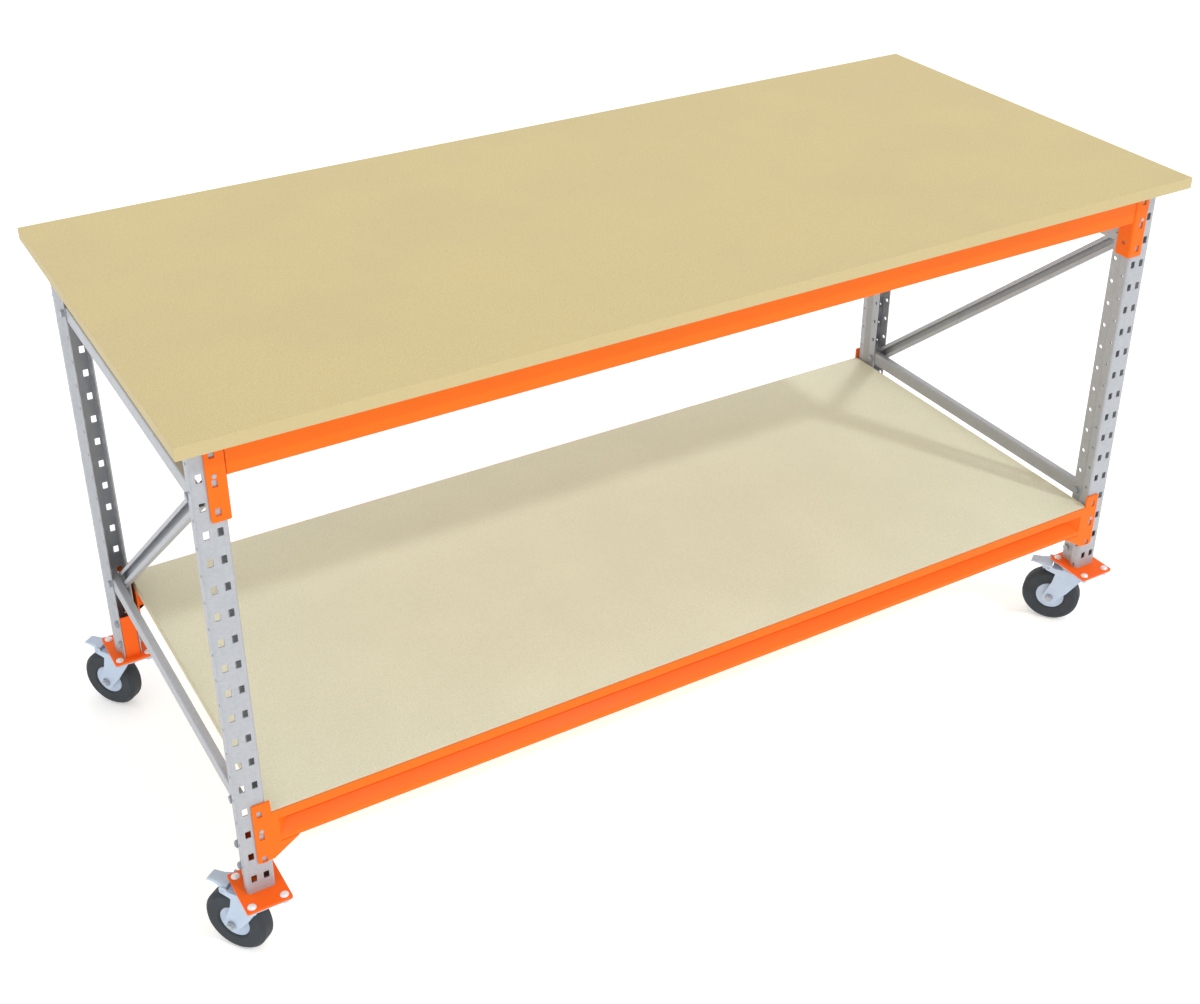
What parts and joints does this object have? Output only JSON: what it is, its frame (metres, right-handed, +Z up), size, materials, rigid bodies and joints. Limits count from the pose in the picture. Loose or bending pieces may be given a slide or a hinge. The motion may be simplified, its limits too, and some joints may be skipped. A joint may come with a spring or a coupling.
{
  "type": "assembly table",
  "caption": "Mobile workshop assembly table: board worktop and lower shelf on slotted posts with hook-on beams, bolted end braces and braked swivel castors.",
  "frame": {"origin": "on the floor under the middle of the worktop, halfway between the four posts", "axes": "+X along the table to the right, +Y from front to back, +Z up"},
  "size_m": [2.044, 0.9362, 1.079],
  "materials": {
    "mdf_worktop": "bare fine fibreboard, pale tan, faint speckle",
    "mdf_shelf": "bare fine fibreboard, paler and faintly speckled",
    "orange_paint": "smooth satin orange powder coat",
    "galvanised": "bright galvanised sheet, soft sheen",
    "zinc_castor": "bluish zinc plate on pressed steel",
    "tyre_rubber": "matt dark grey rubber",
    "hub_plastic": "matt light grey"
  },
  "bodies": {
    "frame": {"worktop": "mdf_worktop", "lower_shelf": "mdf_shelf", "upper_beam_front": "orange_paint", "upper_beam_rear": "orange_paint", "lower_beam_front": "orange_paint", "lower_beam_rear": "orange_paint", "upper_brace_left": "galvanised", "lower_brace_left": "galvanised", "diagonal_brace_left": "galvanised", "upper_brace_right": "galvanised", "lower_brace_right": "galvanised", "diagonal_brace_right": "galvanised", "post_front_left": "galvanised", "lower_connector_front_left": "orange_paint", "upper_connector_front_left": "orange_paint", "foot_front_left": "orange_paint", "castor_plate_front_left": "zinc_castor", "post_front_right": "galvanised", "lower_connector_front_right": "orange_paint", "upper_connector_front_right": "orange_paint", "foot_front_right": "orange_paint", "castor_plate_front_right": "zinc_castor", "post_rear_left": "galvanised", "lower_connector_rear_left": "orange_paint", "upper_connector_rear_left": "orange_paint", "foot_rear_left": "orange_paint", "castor_plate_rear_left": "zinc_castor", "post_rear_right": "galvanised", "lower_connector_rear_right": "orange_paint", "upper_connector_rear_right": "orange_paint", "foot_rear_right": "orange_paint", "castor_plate_rear_right": "zinc_castor"},
    "castor_front_left": {"fork_front_left": "zinc_castor", "axle_front_left": "zinc_castor"},
    "wheel_front_left": {"tyre_front_left": "tyre_rubber", "hub_front_left": "hub_plastic"},
    "brake_front_left": {"brake_pedal_front_left": "zinc_castor"},
    "castor_front_right": {"fork_front_right": "zinc_castor", "axle_front_right": "zinc_castor"},
    "wheel_front_right": {"tyre_front_right": "tyre_rubber", "hub_front_right": "hub_plastic"},
    "brake_front_right": {"brake_pedal_front_right": "zinc_castor"},
    "castor_rear_left": {"fork_rear_left": "zinc_castor", "axle_rear_left": "zinc_castor"},
    "wheel_rear_left": {"tyre_rear_left": "tyre_rubber", "hub_rear_left": "hub_plastic"},
    "brake_rear_left": {"brake_pedal_rear_left": "zinc_castor"},
    "castor_rear_right": {"fork_rear_right": "zinc_castor", "axle_rear_right": "zinc_castor"},
    "wheel_rear_right": {"tyre_rear_right": "tyre_rubber", "hub_rear_right": "hub_plastic"},
    "brake_rear_right": {"brake_pedal_rear_right": "zinc_castor"}
  },
  "joints": [
    {"name": "castor_swivel_front_left", "type": "hinge", "parent": "frame", "child": "castor_front_left", "pos_m": [-0.9555, -0.386, 0.14], "axis": [0, 0, 1], "continuous": true},
    {"name": "wheel_spin_front_left", "type": "hinge", "parent": "castor_front_left", "child": "wheel_front_left", "pos_m": [-0.98643, -0.34296, 0.0625], "axis": [-0.8121, -0.5835, 0], "continuous": true},
    {"name": "brake_press_front_left", "type": "hinge", "parent": "castor_front_left", "child": "brake_front_left", "pos_m": [-0.99285, -0.33403, 0.139], "axis": [-0.8121, -0.5835, 0], "range_deg": [0, 14]},
    {"name": "castor_swivel_front_right", "type": "hinge", "parent": "frame", "child": "castor_front_right", "pos_m": [0.9555, -0.386, 0.14], "axis": [0, 0, 1], "continuous": true},
    {"name": "wheel_spin_front_right", "type": "hinge", "parent": "castor_front_right", "child": "wheel_front_right", "pos_m": [0.92457, -0.34296, 0.0625], "axis": [-0.8121, -0.5835, 0], "continuous": true},
    {"name": "brake_press_front_right", "type": "hinge", "parent": "castor_front_right", "child": "brake_front_right", "pos_m": [0.91815, -0.33403, 0.139], "axis": [-0.8121, -0.5835, 0], "range_deg": [0, 14]},
    {"name": "castor_swivel_rear_left", "type": "hinge", "parent": "frame", "child": "castor_rear_left", "pos_m": [-0.9555, 0.386, 0.14], "axis": [0, 0, 1], "continuous": true},
    {"name": "wheel_spin_rear_left", "type": "hinge", "parent": "castor_rear_left", "child": "wheel_rear_left", "pos_m": [-0.98643, 0.42904, 0.0625], "axis": [-0.8121, -0.5835, 0], "continuous": true},
    {"name": "brake_press_rear_left", "type": "hinge", "parent": "castor_rear_left", "child": "brake_rear_left", "pos_m": [-0.99285, 0.43797, 0.139], "axis": [-0.8121, -0.5835, 0], "range_deg": [0, 14]},
    {"name": "castor_swivel_rear_right", "type": "hinge", "parent": "frame", "child": "castor_rear_right", "pos_m": [0.9555, 0.386, 0.14], "axis": [0, 0, 1], "continuous": true},
    {"name": "wheel_spin_rear_right", "type": "hinge", "parent": "castor_rear_right", "child": "wheel_rear_right", "pos_m": [0.92457, 0.42904, 0.0625], "axis": [-0.8121, -0.5835, 0], "continuous": true},
    {"name": "brake_press_rear_right", "type": "hinge", "parent": "castor_rear_right", "child": "brake_rear_right", "pos_m": [0.91815, 0.43797, 0.139], "axis": [-0.8121, -0.5835, 0], "range_deg": [0, 14]}
  ]
}
